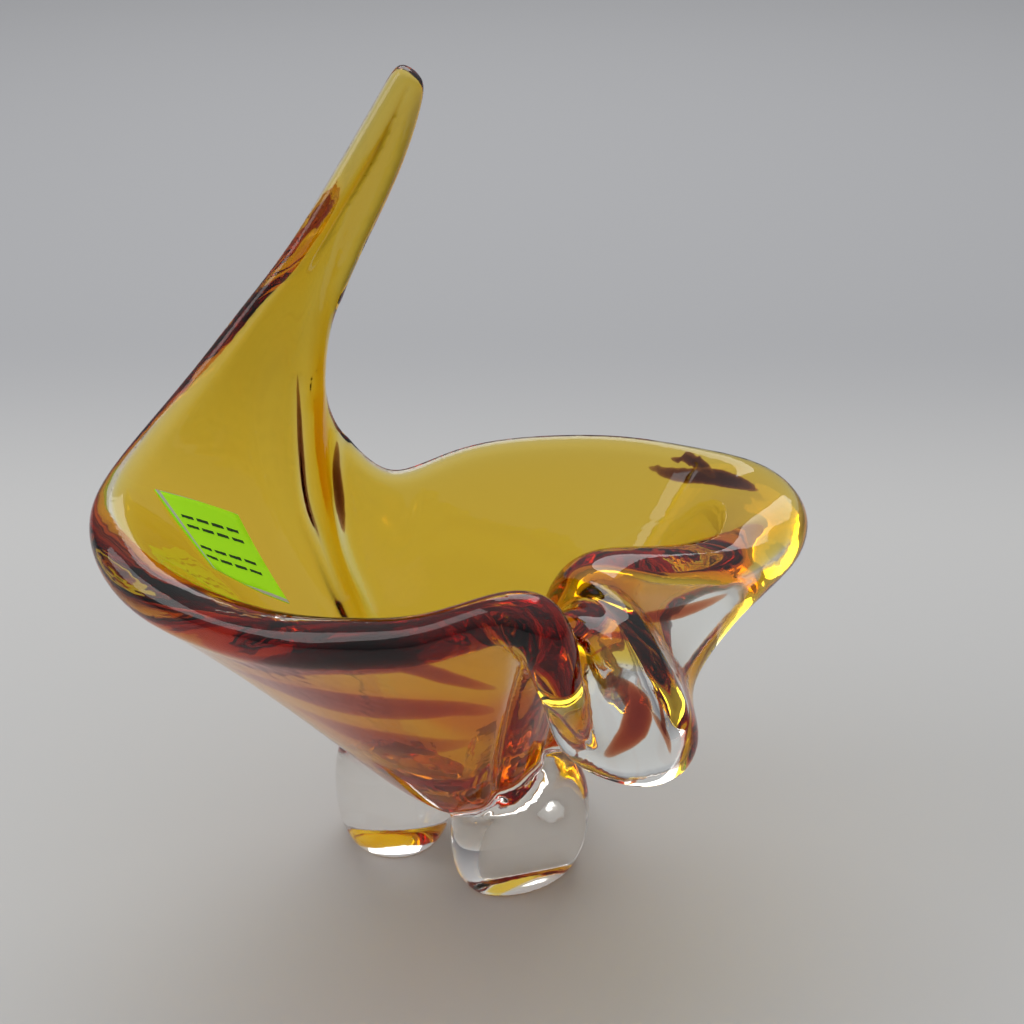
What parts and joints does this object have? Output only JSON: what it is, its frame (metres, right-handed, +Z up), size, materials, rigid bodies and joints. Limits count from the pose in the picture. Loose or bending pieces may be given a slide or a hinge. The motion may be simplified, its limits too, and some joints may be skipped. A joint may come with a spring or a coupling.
{
  "type": "pulled art glass bowl",
  "caption": "Freeform cased glass bowl with an amber lining in clear glass, a tall pulled horn, a wing and a drooping tongue, standing on clear petal feet",
  "frame": {"origin": "on the table under the middle of the overall box", "axes": "+Z up from the table through the horn; +X towards the pulled wing; -Y towards the drooping tongue"},
  "size_m": [0.1956, 0.15, 0.2256],
  "materials": {
    "amber_glass": "fire-polished transparent amber",
    "clear_glass": "fire-polished transparent clear",
    "foot_glass": "fire-polished transparent clear",
    "label_paper": "matt fluorescent green paper with a white edge"
  },
  "bodies": {
    "root": {"amber_lining": "amber_glass", "clear_casing": "clear_glass", "foot_left": "foot_glass", "foot_front": "foot_glass", "foot_back": "foot_glass", "price_label": "label_paper"}
  },
  "joints": []
}
